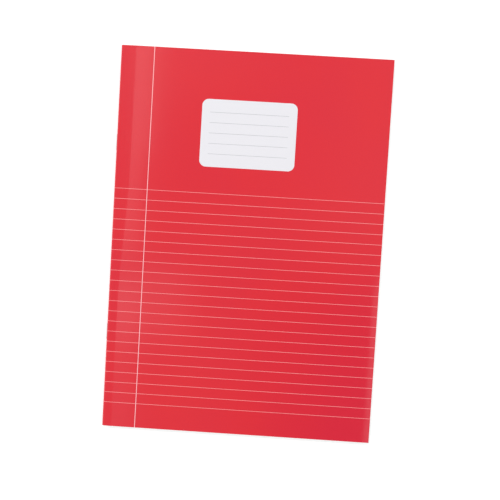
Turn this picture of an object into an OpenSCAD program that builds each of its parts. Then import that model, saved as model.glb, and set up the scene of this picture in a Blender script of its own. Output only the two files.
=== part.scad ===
// Stapled A4 notebook with a folded card cover, lying closed and face up.
// The spine lies along Y on the left, the head of the book is at +Y, and Z points up.
// The origin is at the middle of the underside.

/* [Page] */
// Width of a page, from the spine to the fore-edge
page_w = 210; // [170:1:297]
// Height of a page, from the tail to the head
page_h = 297; // [200:1:420]

/* [Leaves] */
// Sheets folded inside one another, each of which makes two leaves
sheet_count = 24; // [12:1:40]
// Thickness of one leaf of paper, with the air that lies between leaves
paper_t = 0.09; // [0.07:0.01:0.12]

/* [Cover card] */
// Thickness of the cover card
card_t = 0.27; // [0.2:0.01:0.5]
// Thickness of the printed ink film
film_t = 0.05; // [0.02:0.01:0.08]

/* [Spine] */
// Length of the rounded nose behind the fold
nose_l = 1.6; // [1.5:0.1:6]
// How far each cover falls towards the fold, where the leaves are pressed together
fall_h = 0.4; // [0:0.05:0.6]
// Share of that fall that lies in the soft bend, before the cover runs straight to the nose
soft_share = 0.15; // [0.1:0.05:0.6]
// Distance of the straight run's end from the fold
crease_x = 10; // [7:0.5:16]
// Distance from the fold at which the cover is level
level_x = 26; // [20:1:40]

/* [Staples] */
// Diameter of the staple wire
wire_d = 0.6; // [0.4:0.05:0.7]
// Distance between the two legs of a staple, from centre to centre
crown_w = 12.6; // [10:0.1:16]
// Distance between the middles of the two staples
staple_pitch = 148; // [60:1:170]
// Radius of the bend between crown and leg, at the wire's centre line
bend_r = 0.5; // [0.4:0.05:0.8]
// Length of each bent-over end inside the middle fold
clinch_l = 4.2; // [2:0.1:4.5]
// Running clearance between the wire and what it passes through
wire_gap = 0.05; // [0.03:0.01:0.1]

/* [Ruling printed on the front] */
// Distance from one ruled line to the next
line_pitch = 8; // [5:0.5:12]
// Distance of the highest ruled line below the name label
line_drop = 20.5; // [5:0.5:40]
// Least distance of the lowest ruled line from the tail
tail_gap = 15; // [5:0.5:40]
// Width of a ruled line
line_w = 0.3; // [0.2:0.05:1]
// Distance of the upright margin line from the fold
margin_x = 26; // [15:0.5:40]
// Width of the margin line
margin_w = 0.5; // [0.2:0.05:1.5]

/* [Name label printed on the front] */
// Width of the label
label_w = 73.5; // [50:0.5:80]
// Height of the label
label_h = 52; // [45:0.5:65]
// Radius of the label's corners
label_r = 5; // [2:0.5:10]
// Distance of the label's middle from the fold
label_x = 101.8; // [85:0.1:165]
// Distance of the label's middle below the head
label_drop = 63.5; // [45:0.5:80]
// Number of writing lines on the label
label_line_count = 5; // [2:1:5]
// Distance from one writing line to the next
label_pitch = 8; // [5:0.5:8]
// Length of a writing line
label_line_l = 61; // [30:0.5:65]
// Width of a writing line
label_line_w = 0.25; // [0.2:0.05:0.8]

/* [Hidden] */

// Angle between the points of the rounded nose
nose_step = 7.5;
// The ink stops at this angle up the nose, so that it clears the fold as the cover turns
ink_start = 2 * nose_step;
// Number of steps along the soft bend
bend_steps = 8;
// A cut runs this far past the face that it leaves
over = 1;

block_t = 2 * sheet_count * paper_t;
flat_t = block_t + 2 * card_t;
// Height of the fold
fold_z = flat_t / 2;
// What is left of the fall where the straight run ends, and the slope of that run
crease_fall = fall_h * soft_share;
run_slope = (fall_h - crease_fall) / (crease_x - nose_l);
wire_r = wire_d / 2;
hole_r = wire_r + wire_gap;
// The crown stands out of the spine by half its wire, and the part is centred with it
spine_x = -(page_w - wire_r) / 2;
// Distance from the fold's outer face to the middle fold, where the wire ends are bent over
clinch_x = card_t + block_t / 2 + wire_r;
// Position of the label's middle along Y, and the ruled lines that fit below the label
label_y = page_h / 2 - label_drop;
line_count = 1 + floor((ruled_y(0) + page_h / 2 - tail_gap) / line_pitch);
// The wire is drawn with twelve sides, and its bends as true arcs
wire_sides = 12;
$fn = 32;

// How far a cover lies below its level at a distance x behind the fold
function fall(x) =
    x < crease_x
    ? crease_fall + run_slope * (crease_x - x)
    : crease_fall * pow((level_x - x) / (level_x - crease_x), 2);

// Level of the upper side at x, at a depth below the cover's outer face
function top_z(x, depth) = flat_t - fall(x) - depth;

// The rounded upper half of the nose, from an angle above the fold to where it turns level
function nose_top(depth, start) = [
    for (a = [start:nose_step:90])
    let (x = depth + (nose_l - depth) * (1 - cos(a)))
    [x, fold_z + (top_z(x, depth) - fold_z) * sin(a)]
];

// The upper side behind the nose: the soft bend, then level to the fore-edge
function run_top(depth) = concat(
    [
        for (i = [0:bend_steps])
        let (x = crease_x + (level_x - crease_x) * i / bend_steps)
        [x, top_z(x, depth)]
    ],
    [[page_w, flat_t - depth]]
);

// The whole upper side, from the fold to the fore-edge, and the lower side, its mirror image
function upper_side(depth, start = 0) = concat(nose_top(depth, start), run_top(depth));
function lower_side(depth) = [for (p = upper_side(depth)) [p[0], flat_t - p[1]]];

function reversed(list) = [for (i = [len(list) - 1:-1:0]) list[i]];

// Position along Y of a ruled line, counted down from the label, and of a writing line on it
function ruled_y(i) = label_y - label_h / 2 - line_drop - i * line_pitch;
function label_line_y(i) = label_y + (i - (label_line_count - 1) / 2) * label_pitch;

// A section drawn from the fold to the right, drawn out along Y around the level y
module along_y(length, y = 0) {
    translate([spine_x, y + length / 2, 0])
        rotate([90, 0, 0])
            linear_extrude(height = length)
                children();
}

// The layer of ink over the front, in section
module ink_strip() {
    polygon(concat(upper_side(-film_t, ink_start), reversed(upper_side(0, ink_start))));
}

module at_staples() {
    for (side = [-1, 1])
        translate([spine_x, side * staple_pitch / 2, fold_z])
            children();
}

// Room for the crowns and their bends in the fold
module crown_slots() {
    at_staples()
        translate([-over, -crown_w / 2 - hole_r, -hole_r])
            cube([over + bend_r + wire_gap, crown_w + 2 * hole_r, 2 * hole_r]);
}

// Holes for the legs, and room in the middle fold for their bent ends
module leg_holes() {
    at_staples()
        for (side = [0, 1])
            mirror([0, side, 0])
                leg_hole();
}

module leg_hole() {
    translate([0, crown_w / 2, 0])
        rotate([0, 90, 0])
            cylinder(r = hole_r, h = clinch_x);
    translate([clinch_x - bend_r - wire_gap, crown_w / 2 - clinch_l - wire_gap, -hole_r])
        cube([bend_r + wire_gap + hole_r, clinch_l + wire_gap + hole_r, 2 * hole_r]);
}

// A straight length of wire, upwards from the origin
module wire(length) {
    cylinder(r = wire_r, h = length, $fn = wire_sides);
}

// A quarter bend of wire from +Y to +X, with its centre line starting at the origin
module wire_bend() {
    translate([bend_r, 0, 0])
        rotate([0, 0, 90])
            rotate_extrude(angle = 90)
                translate([bend_r, 0])
                    circle(r = wire_r, $fn = wire_sides);
}

// One half of a staple: half the crown, a bend, a leg, a second bend and the bent end
module half_staple() {
    leg_y = crown_w / 2;
    rotate([-90, 0, 0])
        wire(leg_y - bend_r);
    translate([0, leg_y - bend_r, 0])
        wire_bend();
    translate([bend_r, leg_y, 0])
        rotate([0, 90, 0])
            wire(clinch_x - 2 * bend_r);
    translate([clinch_x, leg_y - bend_r, 0])
        mirror([1, 0, 0])
            wire_bend();
    translate([clinch_x, leg_y - clinch_l, 0])
        rotate([-90, 0, 0])
            wire(clinch_l - bend_r);
}

module staple() {
    half_staple();
    mirror([0, 1, 0])
        half_staple();
}

// Two wire staples through the fold, their ends bent over inside the middle sheet
module staples() {
    color("silver")
        at_staples()
            staple();
}

// All the leaves, folded round the middle sheet and trimmed flush with the cover
module page_block() {
    color("white")
        difference() {
            along_y(page_h)
                polygon(concat(upper_side(card_t), reversed(lower_side(card_t))));
            crown_slots();
            leg_holes();
        }
}

// Front half of the cover card, from the fold to the fore-edge
module front_cover() {
    color("crimson")
        difference() {
            along_y(page_h)
                polygon(concat(upper_side(0), reversed(upper_side(card_t))));
            crown_slots();
        }
}

// Back half of the cover card, on which the book lies
module back_cover() {
    color("firebrick")
        difference() {
            along_y(page_h)
                polygon(concat(lower_side(0), reversed(lower_side(card_t))));
            crown_slots();
        }
}

// Printed lines across the front, and the upright margin line that crosses them
module front_ruling() {
    color("mistyrose") {
        for (i = [0:line_count - 1])
            along_y(line_w, ruled_y(i))
                ink_strip();
        margin_line();
    }
}

module margin_line() {
    intersection() {
        along_y(page_h)
            ink_strip();
        translate([spine_x + margin_x - margin_w / 2, -page_h / 2 - over, 0])
            cube([margin_w, page_h + 2 * over, flat_t + over]);
    }
}

// Corner-rounded field, drawn around its own middle
module rounded_field(w, h, r) {
    for (x = [-1, 1], y = [-1, 1])
        translate([x * (w / 2 - r), y * (h / 2 - r)])
            circle(r = r);
    square([w - 2 * r, h], center = true);
    square([w, h - 2 * r], center = true);
}

// White printed field for the owner's name
module name_label() {
    color("white")
        translate([spine_x + label_x, label_y, flat_t])
            linear_extrude(height = film_t)
                rounded_field(label_w, label_h, label_r);
}

// Thin writing lines printed over the label
module label_lines() {
    color("gainsboro")
        for (i = [0:label_line_count - 1])
            translate([spine_x + label_x, label_line_y(i), flat_t + film_t + film_t / 2])
                cube([label_line_l, label_line_w, film_t], center = true);
}

page_block();
staples();
front_cover();
back_cover();
front_ruling();
name_label();
label_lines();
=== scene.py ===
# Looks of a stapled A4 notebook: folded card cover, nested sheets, print and staples. Lengths are in metres.
import math
import random

import bpy
import numpy as np
from mathutils import Matrix, Vector


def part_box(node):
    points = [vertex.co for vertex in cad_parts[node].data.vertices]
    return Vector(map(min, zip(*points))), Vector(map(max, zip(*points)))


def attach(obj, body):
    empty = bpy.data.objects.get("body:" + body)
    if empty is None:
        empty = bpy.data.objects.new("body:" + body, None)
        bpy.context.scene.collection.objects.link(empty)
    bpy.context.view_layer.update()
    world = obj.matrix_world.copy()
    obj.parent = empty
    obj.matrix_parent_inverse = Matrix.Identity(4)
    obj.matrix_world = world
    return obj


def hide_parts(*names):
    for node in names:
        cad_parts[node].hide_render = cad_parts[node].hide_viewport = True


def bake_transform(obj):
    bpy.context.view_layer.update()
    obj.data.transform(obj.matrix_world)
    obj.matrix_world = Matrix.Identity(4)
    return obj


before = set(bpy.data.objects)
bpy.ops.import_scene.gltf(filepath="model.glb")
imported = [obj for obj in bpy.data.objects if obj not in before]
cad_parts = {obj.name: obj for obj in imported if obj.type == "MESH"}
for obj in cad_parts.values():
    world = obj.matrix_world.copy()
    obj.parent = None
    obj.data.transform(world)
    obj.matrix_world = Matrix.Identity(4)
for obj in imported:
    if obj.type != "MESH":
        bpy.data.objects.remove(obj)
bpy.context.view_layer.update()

MM = 0.001

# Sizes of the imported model
cover_low, cover_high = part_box("front_cover")
block_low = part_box("page_block")[0]
label_low, label_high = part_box("name_label")
writing_low, writing_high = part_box("label_lines")
SPINE_X = cover_low.x
PAGE_W = cover_high.x - SPINE_X
FOLD_Z = cover_low.z
HALF_T = cover_high.z - FOLD_Z
CARD_T = block_low.x - SPINE_X
BLOCK_HALF = HALF_T - CARD_T
HEAD_Y = cover_high.y
TAIL_Y = cover_low.y

# The fold and the slope behind it, as in the construction
NOSE_L = 1.6 * MM
FALL_H = 0.4 * MM
SOFT_SHARE = 0.15
LEVEL_X = 26 * MM
CREASE_X = 10 * MM
# The middle sheet is folded almost sharp: length of its nose
MIDDLE_NOSE_L = 0.1 * MM

# Steps of the meshes: round a quarter of the nose, and along the spine on the covers and on the sheets. The
# nose of a sheet has half as many.
NOSE_STEPS = 16
COVER_STEPS = 66
SHEET_STEPS = 18
NOSE_ANGLES = np.radians(np.linspace(0, 90, NOSE_STEPS + 1))
SHEET_ANGLES = NOSE_ANGLES[::2]
COVER_STOPS = np.linspace(TAIL_Y, HEAD_Y, COVER_STEPS + 1)
# Behind the fold, the step changes past the crease, past the soft bend and before the curl
PAST_CREASE_X = 14 * MM
PAST_BEND_X = 30 * MM
BEFORE_CURL_X = 200 * MM
# A stop of a mesh is left out where it lies nearer than this to an edge that is added
LEAST_STEP = 0.02 * MM

# The crease in the front runs nearer to the fold at the tail than at the head
CREASE_HEAD_X = 12.0 * MM
CREASE_TAIL_X = 7.2 * MM
CREASE_LOW_Y = TAIL_Y + 95 * MM
CREASE_HIGH_Y = TAIL_Y + 205 * MM
# It is rounded: the height is a mean of samples taken within this distance to either side
CREASE_ROUND = 0.5 * MM
CREASE_SAMPLES = 7

# The fore-edge of the front curls down a little in its lower half
CURL_H = 0.13 * MM
CURL_X = 203 * MM
CURL_LOW_Y = TAIL_Y + 105 * MM
CURL_HIGH_Y = TAIL_Y + 150 * MM

# The card is never quite flat: height of its waves, and for each its lengths along X and Y and its phase
WAVE_H = 0.012 * MM
WAVES = [(0.17, 0.23, 0.4), (-0.11, 0.31, 2.1), (0.29, -0.13, 4.0)]

# Leaves: sheets inside one another, the air at each face of a sheet as a share of their pitch, the air under
# the card as a share of the leaves' half height, and how unevenly the sheets are trimmed
SHEET_COUNT = 24
AIR_SHARE = 0.08
CARD_AIR_SHARE = 0.01
EDGE_JITTER = 0.07 * MM
SHEET_SEED = 7

# Staples
WIRE_R = 0.3 * MM
WIRE_GAP = 0.05 * MM
CROWN_W = 12.6 * MM
STAPLE_PITCH = 148 * MM
BEND_R = 0.5 * MM
CLINCH_L = 4.2 * MM
CLINCH_X = CARD_T + BLOCK_HALF + WIRE_R
WIRE_SIDES = 20
BEND_POINTS = 7
STAPLES = {"staple_head": STAPLE_PITCH / 2, "staple_tail": -STAPLE_PITCH / 2}
# The card leaves room for the crown up to this step of the nose
NOTCH_STEP = 2

# Print on the front: how far ink lies above the card, how thick it is, and the step up the nose where it ends
INK_LIFT = 0.003 * MM
INK_T = 0.03 * MM
INK_STEP = 3
LINE_COUNT = 22
LINE_PITCH = 8 * MM
LINE_W = 0.3 * MM
LINE_DROP = 20.5 * MM
MARGIN_X = 26 * MM
MARGIN_W = 0.5 * MM
LABEL_R = 5 * MM
WRITING_COUNT = 5
WRITING_W = 0.25 * MM
# Points of the meshes: at a corner of the label, along the straight part of its side, across it, and along a
# writing line
CORNER_POINTS = 10
SIDE_POINTS = 10
ACROSS_POINTS = 24
WRITING_POINTS = 14

# Print on the first and last page. Its first three values say the same as those of the front.
PAGE_INK_LIFT = 0.003 * MM
PAGE_INK_T = 0.012 * MM
PAGE_INK_STEP = 8
PAGE_LINE_W = 0.2 * MM
PAGE_LINE_COUNT = 32
PAGE_HEAD_GAP = 30 * MM
PAGE_MARGIN_X = 26 * MM
PAGE_MARGIN_W = 0.3 * MM

# Colours, as linear light
RED = (0.725, 0.0225, 0.0330)
# The darker red: the ink's random mottle leans towards it, and the painted shade at the tail corner reaches
# it
RED_MOTTLE_AND_SHADE = (0.664, 0.0200, 0.0435)
CARD_WHITE = (0.80, 0.79, 0.76)
CARD_PULP = (0.68, 0.65, 0.59)
PAPER_LIGHT = (0.85, 0.842, 0.82)
PAPER_DARK = (0.74, 0.73, 0.70)
RULING_PINK = (0.98, 0.35, 0.36)
MARGIN_PINK = (0.98, 0.525, 0.555)
LABEL_WHITE = (0.812, 0.802, 0.84)
WRITING_GREY = (0.50, 0.50, 0.53)
PAGE_BLUE = (0.36, 0.50, 0.66)
PAGE_RED = (0.80, 0.36, 0.40)
STEEL = (0.60, 0.61, 0.63)
# Painted shade: the red gets darker towards the tail corner of the fore-edge, between these distances from
# the fold and between these places along the spine
CORNER_SHADE_X = (110 * MM, 215 * MM)
CORNER_SHADE_Y = (0, -140 * MM)

# Noise between these values fills the range that a material asks for
NOISE_RANGE = (0.3, 0.7)
# The surface of varnish and ink: lumps to a metre, and their height
PEEL_SCALE = 420
PEEL_H = 0.002 * MM

# Camera: its place, the point on the cover that it looks at, its roll, and its focal length and sensor in mm
CAMERA_PLACE = Vector((16.6, 27.0, 624.6)) * MM
CAMERA_AIM = Vector((3.54, -3.37, 4.86)) * MM
CAMERA_ROLL = math.radians(-3.452)
CAMERA_LENS = 57.6
CAMERA_SENSOR = 36

# Studio: light near the horizon and straight above. It changes between these heights of the direction, of
# which 1 is straight above.
HORIZON_LEVEL = 1.0
CEILING_LEVEL = 0.45
CEILING_RISE = (0.45, 0.92)

# Key lamp: its place, its width and its power
KEY_PLACE = Vector((-1.2, 2.2, 3.8))
KEY_SIZE = 4.0
KEY_POWER = 96

# Floor: its size, the gap under the object, and its grey. A glow that only the eye and reflections see makes
# it white, and grows to FAR_GLOW between these distances from the middle.
FLOOR_SIZE = 12
FLOOR_GAP = 0.1 * MM
FLOOR_COLOUR = 0.8
FLOOR_GLOW = 0.3
FAR_GLOW = 0.5
FAR_PLACE = (0.5, 3.0)

# Brighter and darker fields of the ceiling. Each has its bounds east and north, as distances at unit height,
# half the width of its soft edges on those two axes, and the light that it adds.
CEILING_FIELDS = {
    "strip_head": ((-0.232, -0.150), (0.062, 0.60), (0.010, 0.025), 1.05),
    "strip_middle": ((-0.232, -0.163), (-0.064, 0.062), (0.010, 0.025), 0.78),
    "strip_tail": ((-0.232, -0.158), (-0.185, -0.100), (0.012, 0.022), 0.50),
    "veil_left": ((-0.232, -0.097), (-0.165, -0.078), (0.030, 0.025), 0.50),
    "tail_left": ((-0.232, -0.158), (-0.60, -0.185), (0.012, 0.035), 0.32),
    "head_left": ((-0.60, -0.02), (0.14, 0.60), (0.100, 0.060), 0.18),
    "strip_right": ((0.170, 0.300), (-0.60, -0.060), (0.020, 0.040), 0.90),
    "head_right": ((0.060, 0.60), (-0.06, 0.60), (0.080, 0.060), 0.15),
    "low_right": ((0.0, 0.60), (-0.60, -0.080), (0.120, 0.100), -0.28),
}
# Directions lower than this count as this high, because the ceiling's plane has no end
LEAST_RISE = 0.05


def smooth(low, high, value):
    """0 below low, 1 above high, and a smooth step between them."""
    t = np.clip((value - low) / (high - low), 0, 1)
    return t * t * (3 - 2 * t)


def fall(x, crease):
    """How far a cover lies below its level at x behind the fold: a straight run, and then a soft bend."""
    soft = FALL_H * SOFT_SHARE
    run = soft + (FALL_H - soft) * (crease - x) / (crease - NOSE_L)
    bend = soft * (np.clip(LEVEL_X - x, 0, None) / (LEVEL_X - crease)) ** 2
    return np.where(x < crease, run, bend)


def waves(x, y):
    """Gentle unevenness of the card, which fades out towards the fold."""
    total = sum(
        np.sin(2 * math.pi * (x / length_x + y / length_y) + phase)
        for length_x, length_y, phase in WAVES
    )
    return WAVE_H * total * smooth(CREASE_X, 2 * LEVEL_X, x)


def front_height(x, y):
    """Height of the front's outer face over the fold, past the nose."""
    crease = CREASE_TAIL_X + (CREASE_HEAD_X - CREASE_TAIL_X) * smooth(CREASE_LOW_Y, CREASE_HIGH_Y, y)
    samples = np.linspace(-CREASE_ROUND, CREASE_ROUND, CREASE_SAMPLES)
    rounded = np.mean([fall(x + sample, crease) for sample in samples], axis=0)
    curl = CURL_H * (np.clip(x - CURL_X, 0, None) / (PAGE_W - CURL_X)) ** 2
    return HALF_T - rounded - curl * (1 - smooth(CURL_LOW_Y, CURL_HIGH_Y, y)) - np.abs(waves(x, y))


def back_height(x, y):
    """Depth of the back's outer face under the fold, past the nose. It is the same all along the spine."""
    return HALF_T - fall(x, CREASE_X)


# By side: 1 is the front, and -1 is the back
HEIGHTS = {1: front_height, -1: back_height}


def profile(depth, length, angles, run):
    """Distances behind the fold of a layer at that depth, round a nose of that length and then along the run,
    and its rise there, from 0 at the fold to 1 past the nose."""
    nose = depth + length * (1 - np.cos(angles))
    return np.concatenate([nose, run]), np.concatenate([np.sin(angles), np.ones(len(run))])


def card_face(side, depth, angles, run, ys):
    """A grid of points on a cover, at that depth below its outer face. side is 1 for the front and -1 for the
    back."""
    x, rise = profile(depth, NOSE_L - depth, angles, run)
    x, y = np.meshgrid(x, ys, indexing="ij")
    z = FOLD_Z + side * (HEIGHTS[side](x, y) - depth) * rise[:, None]
    return np.stack([SPINE_X + x, y, z], axis=-1)


def leaf_share(place):
    """Share of a face at that place among the sheets, which are counted from the card to the middle fold."""
    return CARD_AIR_SHARE + (1 - CARD_AIR_SHARE) * place / SHEET_COUNT


def leaf_profile(share, angles, run):
    """The profile of a leaf. share says where it lies, from the card at 0 to the middle fold at 1."""
    length = (NOSE_L - CARD_T) * (1 - share) + MIDDLE_NOSE_L * share
    return profile(CARD_T + share * BLOCK_HALF, length, angles, run)


def leaf_face(side, share, angles, run, ys, lift=0.0):
    """A grid of points at that lift above a leaf with that share."""
    x, rise = leaf_profile(share, angles, run)
    x, y = np.meshgrid(x, ys, indexing="ij")
    z = FOLD_Z + side * ((HEIGHTS[side](x, y) - CARD_T) * (1 - share) + lift) * rise[:, None]
    return np.stack([SPINE_X + x, y, z], axis=-1)


def along(*stretches):
    """Distances behind the fold up to the fore-edge, from stretches with a start, an end and a step each."""
    stops = [np.arange(start, end - step / 2, step) for start, end, step in stretches]
    return np.concatenate([*stops, [PAGE_W]])


FINE_RUN = along(
    (NOSE_L + 0.4 * MM, PAST_CREASE_X, 0.4 * MM),
    (PAST_CREASE_X, PAST_BEND_X, 1 * MM),
    (PAST_BEND_X, BEFORE_CURL_X, 5 * MM),
    (BEFORE_CURL_X, PAGE_W, 1 * MM),
)
LEAF_RUN = along(
    (NOSE_L + 2 * MM, PAST_CREASE_X, 2 * MM),
    (PAST_CREASE_X, PAST_BEND_X, 8 * MM),
    (PAST_BEND_X, BEFORE_CURL_X, 34 * MM),
    (BEFORE_CURL_X, PAGE_W, 2.5 * MM),
)


def with_edges(stops, *edges):
    """The stops with edges added, less those stops that lie too close to an edge."""
    far = [s for s in stops if min(abs(s - e) for e in edges) > LEAST_STEP]
    return np.array(sorted([*far, *edges]))


def band_edges(bands):
    """Both edges of each band, which is a middle and a width."""
    return [middle + end * width / 2 for middle, width in bands for end in (-1, 1)]


def cells(stops, bands):
    """Which cells between the stops lie in one of the bands."""
    middles = (stops[1:] + stops[:-1]) / 2
    return np.any([np.abs(middles - middle) < width / 2 for middle, width in bands], axis=0)


def object_of(name, mesh, materials):
    """A new object in the scene, made of that mesh."""
    for material in materials:
        mesh.materials.append(material)
    made = bpy.data.objects.new(name, mesh)
    bpy.context.scene.collection.objects.link(made)
    return made


def crisp_edges(mesh, walls):
    """Marks the edges of the faces that are walls as sharp. Each face of the mesh has four corners."""
    edges = np.zeros(len(mesh.loops), np.int32)
    mesh.loops.foreach_get("edge_index", edges)
    sharp = np.zeros(len(mesh.edges), bool)
    sharp[edges.reshape(-1, 4)[walls]] = True
    attribute = mesh.attributes.new("sharp_edge", "BOOLEAN", "EDGE")
    attribute.data.foreach_set("value", sharp)


class Shell:
    """Gathers closed thin solids, and then makes one mesh of them."""

    def __init__(self):
        self.points = []
        self.faces = []
        self.slots = []
        self.smooth = []
        self.uvs = []
        self.tones = []
        self.count = 0

    def add(self, outer, inner, keep=None, flip=False, slots=(0, 0, 0), tone=0.5):
        """Adds the solid between two grids of points. keep says which cells are there, and flip turns the
        faces over. slots are the materials of the outer face, the inner face and the walls, each of them one
        number or a grid with a number for each cell."""
        rows, columns = outer.shape[:2]
        keep = np.ones((rows - 1, columns - 1), bool) if keep is None else keep
        outer_slots, inner_slots, wall_slots = (np.broadcast_to(slot, keep.shape) for slot in slots)
        index = np.arange(rows * columns).reshape(rows, columns)
        a, b, c, d = index[:-1, :-1], index[1:, :-1], index[1:, 1:], index[:-1, 1:]
        top = np.stack([a, b, c, d], axis=-1)[keep]
        size = rows * columns
        groups = [(top, outer_slots[keep], True), (top[:, ::-1] + size, inner_slots[keep], True)]
        # A cell has a wall on each side where it has no neighbour
        there = np.pad(keep, 1)
        for ends, beyond in (
            ((a, b), there[1:-1, :-2]),
            ((b, c), there[2:, 1:-1]),
            ((c, d), there[1:-1, 2:]),
            ((d, a), there[:-2, 1:-1]),
        ):
            bare = keep & ~beyond
            p, q = ends[0][bare], ends[1][bare]
            groups.append((np.stack([q, p, p + size, q + size], axis=-1), wall_slots[bare], False))
        # The place on the flat sheet is the way along the section, and the place along the spine
        along_section = np.linalg.norm(np.diff(outer[:, columns // 2], axis=0), axis=-1)
        u = np.concatenate([[0], np.cumsum(along_section)])
        uv = np.stack(np.meshgrid(u, outer[0, :, 1], indexing="ij"), axis=-1).reshape(-1, 2)
        # Points that no face uses are left out
        faces = np.concatenate([g[0] for g in groups])
        used, faces = np.unique(faces, return_inverse=True)
        faces = faces.reshape(-1, 4)
        points = np.concatenate([outer.reshape(-1, 3), inner.reshape(-1, 3)])[used]
        order = slice(None, None, -1 if flip else 1)
        self.points.append(points)
        self.uvs.append(np.concatenate([uv, uv])[used][faces][:, order])
        self.faces.append(faces[:, order] + self.count)
        self.slots.append(np.concatenate([g[1] for g in groups]))
        self.smooth.append(np.concatenate([np.full(len(g[0]), g[2]) for g in groups]))
        self.tones.append(np.full(len(points), tone))
        self.count += len(points)

    def build(self, name, *materials):
        """The object of all that was added, with its places on the flat sheet and its tones."""
        mesh = bpy.data.meshes.new(name)
        mesh.from_pydata(np.concatenate(self.points), [], np.concatenate(self.faces))
        mesh.polygons.foreach_set("material_index", np.concatenate(self.slots).astype(np.int32))
        smooth_faces = np.concatenate(self.smooth)
        mesh.polygons.foreach_set("use_smooth", smooth_faces)
        crisp_edges(mesh, ~smooth_faces)
        uv = mesh.uv_layers.new(name="Sheet")
        uv.uv.foreach_set("vector", np.concatenate(self.uvs).astype(np.float32).ravel())
        tone = mesh.attributes.new("tone", "FLOAT", "POINT")
        tone.data.foreach_set("value", np.concatenate(self.tones).astype(np.float32))
        mesh.update()
        return object_of(name, mesh, materials)


def add_node(tree, kind, values, **settings):
    """A new node of that kind. values gives its inputs, each a value or another node's output."""
    made = tree.nodes.new("ShaderNode" + kind)
    for name, value in settings.items():
        setattr(made, name, value)
    for name, value in values.items():
        if isinstance(value, bpy.types.NodeSocket):
            tree.links.new(value, made.inputs[name])
        else:
            made.inputs[name].default_value = value
    return made


def sheet_place(tree):
    """Place on the flat sheet, in metres, which moves with the sheet when it is turned."""
    return add_node(tree, "UVMap", {}, uv_map="Sheet").outputs["UV"]


def noise(tree, place, scale, detail):
    """Noise from 0 to 1, with scale lumps to a metre."""
    return add_node(tree, "TexNoise", {"Vector": place, "Scale": scale, "Detail": detail}).outputs["Fac"]


def remap(tree, value, low, high, to_low, to_high):
    """The value, taken from one range to another and held within it."""
    values = {"Value": value, "From Min": low, "From Max": high, "To Min": to_low, "To Max": to_high}
    return add_node(tree, "MapRange", values).outputs["Result"]


def spread(tree, value, low, high):
    """The noise value, spread over the range from low to high."""
    return remap(tree, value, *NOISE_RANGE, low, high)


def shaded(colour, share):
    """The colour with that share of its light."""
    return tuple(share * c for c in colour)


def blend_colours(tree, factor, first, second):
    """The first colour where factor is 0, and the second where it is 1."""
    made = add_node(tree, "Mix", {}, data_type="RGBA")
    tree.links.new(factor, made.inputs["Factor"])
    for name, colour in (("A", first), ("B", second)):
        socket = next(s for s in made.inputs if s.name == name and s.type == "RGBA")
        if isinstance(colour, bpy.types.NodeSocket):
            tree.links.new(colour, socket)
        else:
            socket.default_value = (*colour, 1)
    return next(s for s in made.outputs if s.type == "RGBA")


def combine(tree, first, second, operation="ADD"):
    """The sum of two values, or the result of another operation on them."""
    return add_node(tree, "Math", {0: first, 1: second}, operation=operation).outputs[0]


def new_material(name, surface):
    """A material with a Principled shader. surface makes the nodes and gives the shader's inputs."""
    made = bpy.data.materials.new(name)
    made.use_nodes = True
    tree = made.node_tree
    shader = tree.nodes["Principled BSDF"]
    for socket, value in surface(tree).items():
        if isinstance(value, bpy.types.NodeSocket):
            tree.links.new(value, shader.inputs[socket])
        else:
            shader.inputs[socket].default_value = value
    return made


def bumps(tree, height, size):
    """A normal that follows height, whose full range stands for size metres."""
    return add_node(tree, "Bump", {"Height": height, "Strength": 1.0, "Distance": size}).outputs["Normal"]


def tail_corner_shade(tree, place):
    """1 at the tail corner of the fore-edge, where shade is painted into the red, and 0 away from it."""
    axes = add_node(tree, "SeparateXYZ", {"Vector": place}).outputs
    across = remap(tree, axes["X"], *CORNER_SHADE_X, 0, 1)
    down = remap(tree, axes["Y"], *CORNER_SHADE_Y, 0, 1)
    return combine(tree, across, down, "MULTIPLY")


def varnished_red(tree):
    """Red ink under gloss varnish: faint cloudiness and screen grain in the ink, a slight orange peel, and
    painted shade towards the tail corner.
    """
    place = sheet_place(tree)
    clouds = noise(tree, place, scale=14, detail=2.0)
    grain = noise(tree, place, scale=900, detail=4.0)
    shade = combine(tree, spread(tree, clouds, 0, 0.35), spread(tree, grain, -0.10, 0.30))
    # Painted shade: the red darkens towards the tail corner of the fore-edge
    shade = combine(tree, shade, tail_corner_shade(tree, place))
    peel = noise(tree, place, PEEL_SCALE, detail=2.0)
    fibres = noise(tree, place, scale=2600, detail=3.0)
    height = combine(tree, peel, remap(tree, fibres, 0, 1, 0, 0.25))
    return {
        "Base Color": blend_colours(tree, shade, RED, RED_MOTTLE_AND_SHADE),
        "Roughness": spread(tree, grain, 0.07, 0.11),
        "Normal": bumps(tree, height, PEEL_H),
        "IOR": 1.5,
    }


def bare_card(tree):
    """Uncoated white side of the card, with soft fibres."""
    place = sheet_place(tree)
    fibres = noise(tree, place, scale=1800, detail=5.0)
    clouds = noise(tree, place, scale=60, detail=3.0)
    shade = combine(tree, fibres, clouds, "MULTIPLY")
    return {
        "Base Color": blend_colours(tree, shade, CARD_WHITE, shaded(CARD_WHITE, 0.93)),
        "Roughness": spread(tree, fibres, 0.55, 0.7),
        "Normal": bumps(tree, fibres, size=0.01 * MM),
        "IOR": 1.45,
    }


def cut_card(tree):
    """Cut edge of the card, where the pulp shows."""
    place = add_node(tree, "TexCoord", {}).outputs["Object"]
    pulp = noise(tree, place, scale=4000, detail=4.0)
    return {
        "Base Color": blend_colours(tree, pulp, CARD_PULP, shaded(CARD_PULP, 0.8)),
        "Roughness": 0.8,
        "Normal": bumps(tree, pulp, size=0.01 * MM),
        "IOR": 1.45,
    }


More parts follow.
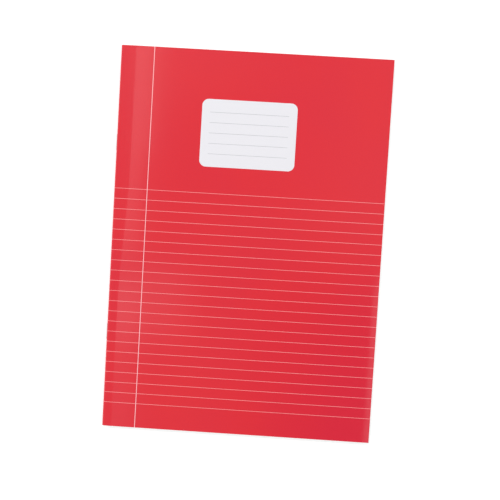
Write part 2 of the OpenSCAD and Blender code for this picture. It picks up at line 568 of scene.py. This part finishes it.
def writing_paper(tree):
    """Uncoated writing paper. Each sheet has its own tone, which sets it apart from the next at its edges."""
    place = sheet_place(tree)
    tone = add_node(tree, "Attribute", {}, attribute_name="tone").outputs["Fac"]
    fibres = noise(tree, place, scale=2200, detail=5.0)
    clouds = noise(tree, place, scale=45, detail=3.0)
    shade = combine(tree, tone, spread(tree, clouds, 0.6, 1.0), "MULTIPLY")
    shade = combine(tree, shade, spread(tree, fibres, -0.05, 0.15))
    return {
        "Base Color": blend_colours(tree, shade, PAPER_LIGHT, PAPER_DARK),
        "Roughness": 0.85,
        "Normal": bumps(tree, fibres, size=0.008 * MM),
        "IOR": 1.4,
    }


def ink(name, colour, roughness, darkest):
    """Print of one colour, with the ink's own slight unevenness. darkest is its least share of light."""

    def surface(tree):
        place = sheet_place(tree)
        grain = noise(tree, place, scale=1100, detail=4.0)
        return {
            "Base Color": blend_colours(tree, spread(tree, grain, 0, 1), colour, shaded(colour, darkest)),
            "Roughness": spread(tree, grain, roughness, 1.3 * roughness),
            "Normal": bumps(tree, noise(tree, place, PEEL_SCALE, detail=2.0), PEEL_H),
            "IOR": 1.5,
        }

    return new_material(name, surface)


def drawn_steel(tree):
    """Drawn wire: bright steel with fine marks along its length."""
    place = sheet_place(tree)
    # Finer round the wire than along it
    stretched = add_node(tree, "Mapping", {"Vector": place, "Scale": (9000, 300, 1)}).outputs["Vector"]
    marks = noise(tree, stretched, scale=1.0, detail=3.0)
    return {
        "Base Color": blend_colours(tree, marks, STEEL, shaded(STEEL, 0.8)),
        "Metallic": 1.0,
        "Roughness": spread(tree, marks, 0.22, 0.36),
        "Normal": bumps(tree, marks, size=0.002 * MM),
    }


def cover_half(name, side, materials):
    """One half of the folded card, with room at its fold for the staples' crowns."""
    reach = CROWN_W / 2 + WIRE_R + WIRE_GAP
    notches = [(y, 2 * reach) for y in STAPLES.values()]
    ys = with_edges(COVER_STOPS, *band_edges(notches))
    outer = card_face(side, 0, NOSE_ANGLES, FINE_RUN, ys)
    inner = card_face(side, CARD_T, NOSE_ANGLES, FINE_RUN, ys)
    keep = np.ones((outer.shape[0] - 1, len(ys) - 1), bool)
    keep[:NOTCH_STEP, cells(ys, notches)] = False
    shell = Shell()
    shell.add(outer, inner, keep, flip=side < 0, slots=(0, 1, 2))
    return shell.build(name, *materials)


def uneven(grid, near, far, tail, head):
    """Moves both fore-edges, the tail and the head of a sheet's grid in by a little."""
    moved = grid.copy()
    moved[0, :, 0] -= near
    moved[-1, :, 0] -= far
    moved[:, 0, 1] += tail
    moved[:, -1, 1] -= head
    return moved


def page_sheets(material):
    """All the sheets, folded inside one another and trimmed, each a little uneven at its edges."""
    dice = random.Random(SHEET_SEED)
    shell = Shell()
    ys = np.linspace(TAIL_Y, HEAD_Y, SHEET_STEPS + 1)
    for i in range(SHEET_COUNT):
        faces = []
        for share in (leaf_share(i + AIR_SHARE), leaf_share(i + 1 - AIR_SHARE)):
            upper = leaf_face(1, share, SHEET_ANGLES, LEAF_RUN, ys)
            lower = leaf_face(-1, share, SHEET_ANGLES, LEAF_RUN, ys)
            faces.append(np.concatenate([upper[::-1], lower[1:]]))
        moves = [dice.uniform(0, EDGE_JITTER) for _ in range(4)]
        outer, inner = (uneven(face, *moves) for face in faces)
        shell.add(outer, inner, flip=True, tone=dice.random())
    return shell.build("page_sheets", material)


def ruling_film(name, faces, x, ys, lines, margin, materials, flip=False):
    """One closed film of ruled lines and of the margin line across them, which has the second material."""
    in_margin = cells(x, margin)[:, None]
    shell = Shell()
    shell.add(*faces, in_margin | cells(ys, lines), flip, slots=[in_margin.astype(int)] * 3)
    return shell.build(name, *materials)


def cover_ruling(materials):
    """The ruling on the front, which follows the card."""
    highest = label_low.y - LINE_DROP
    lines = [(highest - i * LINE_PITCH, LINE_W) for i in range(LINE_COUNT)]
    margin = [(MARGIN_X, MARGIN_W)]
    ys = with_edges(COVER_STOPS, *band_edges(lines))
    angles = NOSE_ANGLES[INK_STEP:]
    run = with_edges(FINE_RUN, *band_edges(margin))
    faces = [card_face(1, -lift, angles, run, ys) for lift in (INK_LIFT + INK_T, INK_LIFT)]
    x = profile(0, NOSE_L, angles, run)[0]
    return ruling_film("front_ruling_print", faces, x, ys, lines, margin, materials)


def print_face(xs, ys, lift):
    """A grid of points on the front at places that are given as grids themselves."""
    z = FOLD_Z + front_height(xs - SPINE_X, ys) + lift
    return np.stack([xs, ys, z], axis=-1)


def label_field(material):
    """The white field, with rounded corners."""
    turn = np.radians(np.linspace(0, 90, CORNER_POINTS))
    into = LABEL_R * (1 - np.cos(turn))
    ys = np.concatenate([
        label_low.y + into,
        np.linspace(label_low.y + LABEL_R, label_high.y - LABEL_R, SIDE_POINTS + 2)[1:-1],
        label_high.y - into[::-1],
    ])
    inset = LABEL_R * (1 - np.sin(turn))
    insets = np.concatenate([inset, np.zeros(SIDE_POINTS), inset[::-1]])
    across = np.linspace(0, 1, ACROSS_POINTS)[:, None]
    xs = label_low.x + insets + across * (label_high.x - label_low.x - 2 * insets)
    ys = np.broadcast_to(ys, xs.shape)
    shell = Shell()
    shell.add(print_face(xs, ys, INK_LIFT + INK_T), print_face(xs, ys, INK_LIFT))
    return shell.build("name_label_print", material)


def writing_lines(material):
    """The thin lines on the field."""
    lowest = writing_low.y + WRITING_W / 2
    highest = writing_high.y - WRITING_W / 2
    lift = INK_LIFT + INK_T
    shell = Shell()
    for middle in np.linspace(lowest, highest, WRITING_COUNT):
        xs, ys = np.meshgrid(
            np.linspace(writing_low.x, writing_high.x, WRITING_POINTS),
            middle + np.array([-0.5, 0.5]) * WRITING_W,
            indexing="ij",
        )
        shell.add(print_face(xs, ys, lift + INK_LIFT + INK_T), print_face(xs, ys, lift + INK_LIFT))
    return shell.build("label_lines_print", material)


def page_ruling(name, side, margin_x, materials):
    """Feint ruling and a margin line on the outermost page at the front or at the back."""
    highest = HEAD_Y - PAGE_HEAD_GAP
    lines = [(highest - i * LINE_PITCH, PAGE_LINE_W) for i in range(PAGE_LINE_COUNT)]
    margin = [(margin_x, PAGE_MARGIN_W)]
    # The print ends where the sheet surely has paper, whatever its trimming
    stops = np.linspace(TAIL_Y + EDGE_JITTER, HEAD_Y - EDGE_JITTER, SHEET_STEPS + 1)
    ys = with_edges(stops, *band_edges(lines))
    run = with_edges(LEAF_RUN, PAGE_W - EDGE_JITTER, *band_edges(margin))[:-1]
    angles = NOSE_ANGLES[PAGE_INK_STEP:]
    share = leaf_share(AIR_SHARE)
    faces = [leaf_face(side, share, angles, run, ys, PAGE_INK_LIFT + t) for t in (PAGE_INK_T, 0)]
    x = leaf_profile(share, angles, run)[0]
    return ruling_film(name, faces, x, ys, lines, margin, materials, flip=side < 0)


def arc(centre, radius, start, end):
    """Points on a quarter bend in the plane of a staple, from one angle to another in degrees."""
    turn = np.radians(np.linspace(start, end, BEND_POINTS))
    return [(centre[0] + radius * math.cos(t), centre[1] + radius * math.sin(t)) for t in turn]


def staple_line():
    """Centre line of a staple in its own plane: distance behind the fold, and height along the spine."""
    leg_y = CROWN_W / 2
    half = [(0, 0)]
    half += arc((BEND_R, leg_y - BEND_R), BEND_R, 180, 90)
    half += arc((CLINCH_X - BEND_R, leg_y - BEND_R), BEND_R, 90, 0)
    half += [(CLINCH_X, leg_y - CLINCH_L)]
    return [(x, -y) for x, y in reversed(half[1:])] + half


def staple(name, middle_y, material):
    """A bent wire: a tube round the staple's line, closed at both ends."""
    sides = WIRE_SIDES
    line = np.array(staple_line())
    steps = np.gradient(line, axis=0)
    steps /= np.linalg.norm(steps, axis=1)[:, None]
    across = np.stack([-steps[:, 1], steps[:, 0]], axis=1)
    turn = np.linspace(0, 2 * math.pi, sides, endpoint=False)
    ring = WIRE_R * np.cos(turn)
    flat = line[:, None, :] + across[:, None, :] * ring[None, :, None]
    z = np.broadcast_to(FOLD_Z + WIRE_R * np.sin(turn), flat.shape[:2])
    points = np.stack([SPINE_X + flat[..., 0], middle_y + flat[..., 1], z], axis=-1)
    count = len(line)
    faces = [
        (i * sides + j, i * sides + (j + 1) % sides, (i + 1) * sides + (j + 1) % sides, (i + 1) * sides + j)
        for i in range(count - 1)
        for j in range(sides)
    ]
    ends = [tuple(reversed(range(sides))), tuple(range((count - 1) * sides, count * sides))]
    mesh = bpy.data.meshes.new(name)
    mesh.from_pydata(points.reshape(-1, 3), [], faces + ends)
    mesh.polygons.foreach_set("use_smooth", [True] * len(faces) + [False] * len(ends))
    lengths = np.concatenate([[0], np.cumsum(np.linalg.norm(np.diff(line, axis=0), axis=1))])
    uv = mesh.uv_layers.new(name="Sheet")
    for loop in mesh.loops:
        row, column = divmod(loop.vertex_index, sides)
        uv.data[loop.index].uv = (WIRE_R * turn[column], lengths[row])
    mesh.update()
    return object_of(name, mesh, [material])


def make_floor():
    """The floor that the notebook lies on."""
    mesh = bpy.data.meshes.new("floor")
    half = FLOOR_SIZE / 2
    corners = [(-half, -half), (half, -half), (half, half), (-half, half)]
    mesh.from_pydata([(x, y, -FLOOR_GAP) for x, y in corners], [], [(0, 1, 2, 3)])
    floor = object_of("floor", mesh, [floor_material()])


def floor_material():
    """Matt white that takes the object's shadow, and shows as white to the eye and in reflections."""
    made = bpy.data.materials.new("floor_white")
    made.use_nodes = True
    tree = made.node_tree
    tree.nodes.clear()
    path = add_node(tree, "LightPath", {})
    seen = combine(tree, path.outputs["Is Camera Ray"], path.outputs["Is Glossy Ray"], "MAXIMUM")
    seen = combine(tree, seen, path.outputs["Is Transmission Ray"], "MAXIMUM")
    grey = (FLOOR_COLOUR, FLOOR_COLOUR, FLOOR_COLOUR, 1)
    matt = add_node(tree, "BsdfDiffuse", {"Color": grey})
    place = add_node(tree, "TexCoord", {}).outputs["Object"]
    distance = add_node(tree, "VectorMath", {0: place}, operation="LENGTH").outputs["Value"]
    glow_level = remap(tree, distance, *FAR_PLACE, FLOOR_GLOW, FAR_GLOW)
    glow = add_node(tree, "Emission", {"Strength": combine(tree, seen, glow_level, "MULTIPLY")})
    both = add_node(tree, "AddShader", {0: matt.outputs[0], 1: glow.outputs[0]})
    add_node(tree, "OutputMaterial", {"Surface": both.outputs[0]})
    return made


def soft_step(tree, value, place, edge, below, above):
    """One number below that place and another above it, with a smooth change of that half width."""
    values = {
        "Value": value,
        "From Min": place - edge,
        "From Max": place + edge,
        "To Min": below,
        "To Max": above,
    }
    return add_node(tree, "MapRange", values, interpolation_type="SMOOTHSTEP").outputs["Result"]


def soft_band(tree, value, bounds, edge):
    """1 between the bounds and 0 outside, with soft edges of that half width."""
    rise = soft_step(tree, value, bounds[0], edge, 0.0, 1.0)
    drop = soft_step(tree, value, bounds[1], edge, 1.0, 0.0)
    return combine(tree, rise, drop, "MULTIPLY")


def make_world():
    """The studio: white near the horizon, dimmer above, with brighter and darker fields in its ceiling."""
    world = bpy.data.worlds.new("studio")
    bpy.context.scene.world = world
    world.use_nodes = True
    tree = world.node_tree
    tree.nodes.clear()
    direction = add_node(tree, "TexCoord", {}).outputs["Generated"]
    axes = add_node(tree, "SeparateXYZ", {"Vector": direction}).outputs
    up = combine(tree, axes["Z"], LEAST_RISE, "MAXIMUM")
    east = combine(tree, axes["X"], up, "DIVIDE")
    north = combine(tree, axes["Y"], up, "DIVIDE")
    level = remap(tree, axes["Z"], *CEILING_RISE, HORIZON_LEVEL, CEILING_LEVEL)
    for x_bounds, y_bounds, edges, light in CEILING_FIELDS.values():
        field = combine(
            tree,
            soft_band(tree, east, x_bounds, edges[0]),
            soft_band(tree, north, y_bounds, edges[1]),
            "MULTIPLY",
        )
        level = combine(tree, level, combine(tree, field, light, "MULTIPLY"))
    background = add_node(tree, "Background", {"Color": (1, 1, 1, 1), "Strength": level})
    add_node(tree, "OutputWorld", {"Surface": background.outputs[0]})


def turned_to(place, aim, roll=0.0):
    """A matrix for a lamp or camera at place that looks at aim, its upward side rolled from north."""
    back = (place - aim).normalized()
    north = Vector((math.sin(roll), math.cos(roll), 0))
    right = north.cross(back).normalized()
    up = back.cross(right)
    turn = Matrix((right, up, back)).transposed().to_4x4()
    return Matrix.Translation(place) @ turn


def make_key():
    """The key lamp. Gloss doesn't show it: its mirror image would turn the red pale from low angles."""
    data = bpy.data.lights.new("key", "AREA")
    data.shape = "DISK"
    data.size = KEY_SIZE
    data.energy = KEY_POWER
    lamp = bpy.data.objects.new("key", data)
    lamp.matrix_world = turned_to(KEY_PLACE, Vector((0, 0, 0)))
    lamp.visible_glossy = False
    bpy.context.scene.collection.objects.link(lamp)


def make_camera():
    """The camera, almost straight above the notebook."""
    data = bpy.data.cameras.new("camera")
    data.sensor_width = CAMERA_SENSOR
    data.lens = CAMERA_LENS
    camera = bpy.data.objects.new("camera", data)
    camera.matrix_world = turned_to(CAMERA_PLACE, CAMERA_AIM, CAMERA_ROLL)
    bpy.context.scene.collection.objects.link(camera)
    bpy.context.scene.camera = camera


def set_view():
    """Colours show as they are written."""
    bpy.context.scene.view_settings.view_transform = "Standard"


def make_covers():
    """Both halves of the folded card."""
    card = [
        new_material("varnished_red", varnished_red),
        new_material("bare_card", bare_card),
        new_material("cut_card", cut_card),
    ]
    front = cover_half("front_cover_card", 1, card)
    back = cover_half("back_cover_card", -1, card)
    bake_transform(front)
    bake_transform(back)
    for piece, node in ((front, "front_cover"), (back, "back_cover")):
        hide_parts(node)


def make_print():
    """The print on the front: ruling, label and writing lines."""
    pinks = [
        ink("ruling_pink", RULING_PINK, roughness=0.10, darkest=0.95),
        ink("margin_pink", MARGIN_PINK, roughness=0.10, darkest=0.95),
    ]
    ruling = cover_ruling(pinks)
    field = label_field(ink("label_white", LABEL_WHITE, roughness=0.10, darkest=0.98))
    writing = writing_lines(ink("writing_grey", WRITING_GREY, roughness=0.15, darkest=0.9))
    for piece, node, slot in (
        (ruling, "front_ruling", "ruling_print"),
        (field, "name_label", "label_print"),
        (writing, "label_lines", "label_line_print"),
    ):
        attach(piece, "front_cover")
        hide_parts(node)


def make_pages():
    """The sheets, and the ruling on the first and last page."""
    sheets = page_sheets(new_material("writing_paper", writing_paper))
    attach(sheets, "page_block")
    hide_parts("page_block")
    inks = [
        ink("page_blue", PAGE_BLUE, roughness=0.7, darkest=0.85),
        ink("page_red", PAGE_RED, roughness=0.7, darkest=0.85),
    ]
    for name, side, margin_x in (
        ("first_page_ruling", 1, PAGE_MARGIN_X),
        ("last_page_ruling", -1, PAGE_W - PAGE_MARGIN_X),
    ):
        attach(page_ruling(name, side, margin_x, inks), "page_block")


def make_staples():
    """Both staples, of the same wire."""
    steel = new_material("drawn_steel", drawn_steel)
    for name, middle_y in STAPLES.items():
        piece = staple(name, middle_y, steel)
        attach(piece, "page_block")
        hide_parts("staples")


make_covers()
make_print()
make_pages()
make_staples()
make_floor()
make_world()
make_key()
make_camera()
set_view()
